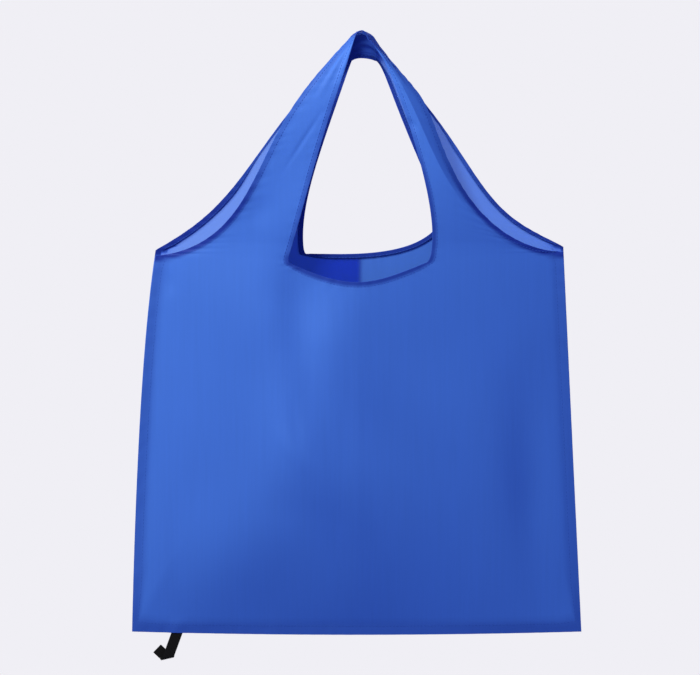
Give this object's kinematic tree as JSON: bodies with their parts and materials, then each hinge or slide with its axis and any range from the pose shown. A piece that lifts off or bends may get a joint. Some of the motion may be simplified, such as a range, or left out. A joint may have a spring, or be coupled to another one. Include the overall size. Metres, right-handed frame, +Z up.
{
  "type": "reusable shopping bag",
  "caption": "Thin folding shopping bag with an arched handle on each panel, hung from one peg, with a black elastic loop at its bottom seam for holding it rolled up.",
  "frame": {"origin": "the point where the crown of the handle bears on the peg that the bag hangs from", "axes": "+Z up, -Y out of the bag's front, +X to the right as seen from the front"},
  "size_m": [0.421, 0.0485, 0.5911],
  "materials": {
    "polyester": "thin plain-woven polyester, satin",
    "elastic": "ribbed woven elastic, matt black"
  },
  "bodies": {
    "root": {"front_panel": "polyester", "back_panel": "polyester", "elastic_loop": "elastic"}
  },
  "joints": []
}
